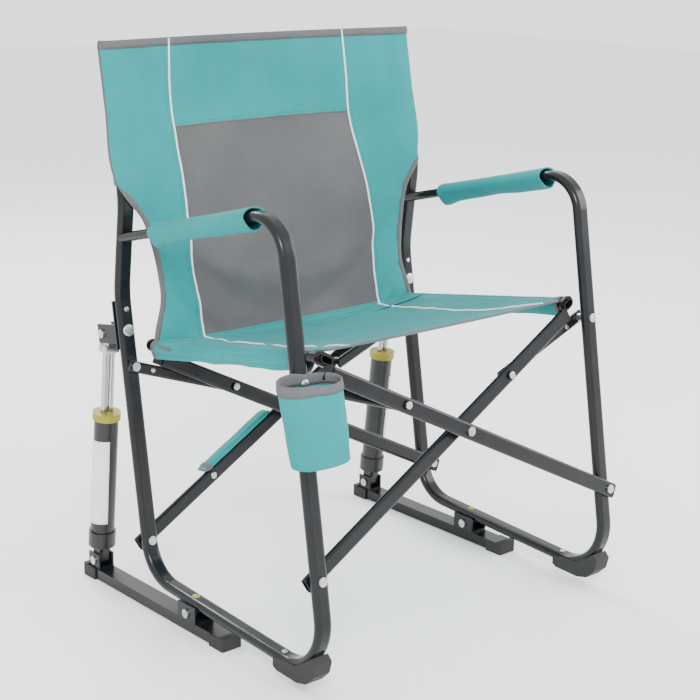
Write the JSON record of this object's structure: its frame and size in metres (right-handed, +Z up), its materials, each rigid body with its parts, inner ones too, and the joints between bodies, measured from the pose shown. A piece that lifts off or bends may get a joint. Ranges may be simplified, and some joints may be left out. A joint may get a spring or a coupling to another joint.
{
  "type": "camp rocking chair",
  "caption": "Folding camp rocking chair: tubular side frames on flat foot bars with spring dampers, X braces, a fabric seat and back, padded arms and a cup pocket.",
  "frame": {"origin": "centre of the bounding box at the height of the foot bars' soles", "axes": "+Z up, the sitter faces -Y, +X is the sitter's left"},
  "size_m": [0.6845, 0.6115, 0.88],
  "materials": {
    "frame_paint": "glossy charcoal powder coat",
    "black_rubber": "moulded, matt",
    "zinc_bolt": "bright zinc",
    "damper_black": "satin black",
    "damper_yellow": "bright yellow",
    "polished_rod": "polished",
    "teal_cloth": "woven polyester",
    "grey_mesh": "fine knitted mesh",
    "grey_binding": "woven tape",
    "white_piping": "piping cord"
  },
  "bodies": {
    "foot_right": {"foot_bar_right": "frame_paint", "foot_cap_front_right": "black_rubber", "foot_cap_rear_right": "black_rubber", "rock_bracket_right": "frame_paint", "rock_bolt_right": "zinc_bolt", "damper_fork_right": "frame_paint", "damper_bolt_right": "zinc_bolt"},
    "side_right": {"back_tube_right": "frame_paint", "base_tube_right": "frame_paint", "arm_tube_right": "frame_paint", "front_pad_right": "black_rubber", "rock_lug_right": "frame_paint", "arm_cover_right": "teal_cloth", "damper_mount_right": "frame_paint", "mount_bolt_right": "zinc_bolt", "front_pivot_bolt_right": "zinc_bolt", "rear_pivot_bolt_right": "zinc_bolt", "front_link_bolt_right": "zinc_bolt", "rear_link_bolt_right": "zinc_bolt", "cup_holder": "teal_cloth", "back_cloth": "teal_cloth"},
    "damper_right": {"damper_cylinder_right": "damper_black", "damper_ring_right": "damper_yellow"},
    "rods_right": {"damper_rods_right": "polished_rod"},
    "foot_left": {"foot_bar_left": "frame_paint", "foot_cap_front_left": "black_rubber", "foot_cap_rear_left": "black_rubber", "rock_bracket_left": "frame_paint", "rock_bolt_left": "zinc_bolt", "damper_fork_left": "frame_paint", "damper_bolt_left": "zinc_bolt"},
    "side_left": {"back_tube_left": "frame_paint", "base_tube_left": "frame_paint", "arm_tube_left": "frame_paint", "front_pad_left": "black_rubber", "rock_lug_left": "frame_paint", "arm_cover_left": "teal_cloth", "damper_mount_left": "frame_paint", "mount_bolt_left": "zinc_bolt", "front_pivot_bolt_left": "zinc_bolt", "rear_pivot_bolt_left": "zinc_bolt", "front_link_bolt_left": "zinc_bolt", "rear_link_bolt_left": "zinc_bolt"},
    "damper_left": {"damper_cylinder_left": "damper_black", "damper_ring_left": "damper_yellow"},
    "rods_left": {"damper_rods_left": "polished_rod"},
    "cross_b": {"brace_front_b": "frame_paint", "brace_rear_b": "frame_paint", "seat_rail_left": "frame_paint", "front_cross_bolt": "zinc_bolt", "rear_cross_bolt": "zinc_bolt", "carry_strap": "teal_cloth"},
    "cross_a": {"brace_front_a": "frame_paint", "brace_rear_a": "frame_paint", "seat_rail_right": "frame_paint", "seat_cloth": "teal_cloth"},
    "link_front_right": {"stay_link_front_right": "frame_paint"},
    "link_front_left": {"stay_link_front_left": "frame_paint"},
    "link_rear_right": {"stay_link_rear_right": "frame_paint"},
    "link_rear_left": {"stay_link_rear_left": "frame_paint"}
  },
  "joints": [
    {"name": "rock", "type": "hinge", "parent": "foot_right", "child": "side_right", "pos_m": [-0.274, 0.016, 0.0315], "axis": [-1, 0, 0], "range_deg": [-3.7, 14], "stiffness_Nm_per_rad": 600},
    {"name": "damper_swing_right", "type": "hinge", "parent": "foot_right", "child": "damper_right", "pos_m": [-0.274, 0.279, 0.032], "axis": [-1, 0, 0], "range_deg": [-4.16, 14.36]},
    {"name": "rod_slide_right", "type": "slide", "parent": "damper_right", "child": "rods_right", "axis": [0, -0.099, 0.9951], "range_m": [-0.066, 0.0189]},
    {"name": "fold", "type": "hinge", "parent": "side_right", "child": "cross_b", "pos_m": [-0.274, -0.273, 0.177], "axis": [0, -0.9863, 0.165], "range_deg": [0, 51.74], "deforming": ["seat_cloth", "back_cloth"]},
    {"name": "link_front_right", "type": "hinge", "parent": "side_right", "child": "link_front_right", "pos_m": [-0.274, -0.22731, 0.45], "axis": [0, -0.9863, 0.165], "range_deg": [-1, 100]},
    {"name": "link_rear_right", "type": "hinge", "parent": "side_right", "child": "link_rear_right", "pos_m": [-0.274, 0.18416, 0.38115], "axis": [0, -0.9863, 0.165], "range_deg": [-1, 100]},
    {"name": "cross", "type": "hinge", "parent": "cross_b", "child": "cross_a", "pos_m": [0.023, -0.24775, 0.3279], "axis": [0, -0.9863, 0.165], "range_deg": [-105, 1]},
    {"name": "left_pivot", "type": "hinge", "parent": "cross_a", "child": "side_left", "pos_m": [0.32, -0.273, 0.177], "axis": [0, -0.9863, 0.165], "range_deg": [-1, 53]},
    {"name": "link_front_left", "type": "hinge", "parent": "side_left", "child": "link_front_left", "pos_m": [0.32, -0.22731, 0.45], "axis": [0, -0.9863, 0.165], "range_deg": [-100, 1]},
    {"name": "link_rear_left", "type": "hinge", "parent": "side_left", "child": "link_rear_left", "pos_m": [0.32, 0.18416, 0.38115], "axis": [0, -0.9863, 0.165], "range_deg": [-100, 1]},
    {"name": "rock_left", "type": "hinge", "parent": "side_left", "child": "foot_left", "pos_m": [0.32, 0.016, 0.0315], "axis": [-1, 0, 0], "range_deg": [-14.5, 4.2]},
    {"name": "damper_swing_left", "type": "hinge", "parent": "foot_left", "child": "damper_left", "pos_m": [0.32, 0.279, 0.032], "axis": [-1, 0, 0], "range_deg": [-4.16, 14.36]},
    {"name": "rod_slide_left", "type": "slide", "parent": "damper_left", "child": "rods_left", "axis": [0, -0.099, 0.9951], "range_m": [-0.066, 0.0189]}
  ],
  "couplings": [
    {"joint": "damper_swing_right", "follows": "rock", "ratio": 0.99},
    {"joint": "rod_slide_right", "follows": "rock", "m_per_rad": -0.262},
    {"joint": "rock_left", "follows": "rock", "ratio": -1},
    {"joint": "damper_swing_left", "follows": "rock", "ratio": 0.99},
    {"joint": "rod_slide_left", "follows": "rock", "m_per_rad": -0.262},
    {"joint": "link_front_right", "follows": "fold", "ratio": 1.8864},
    {"joint": "link_rear_right", "follows": "fold", "ratio": 1.8864},
    {"joint": "cross", "follows": "fold", "ratio": -2},
    {"joint": "left_pivot", "follows": "fold", "ratio": 1},
    {"joint": "link_front_left", "follows": "fold", "ratio": -1.8864},
    {"joint": "link_rear_left", "follows": "fold", "ratio": -1.8864}
  ]
}
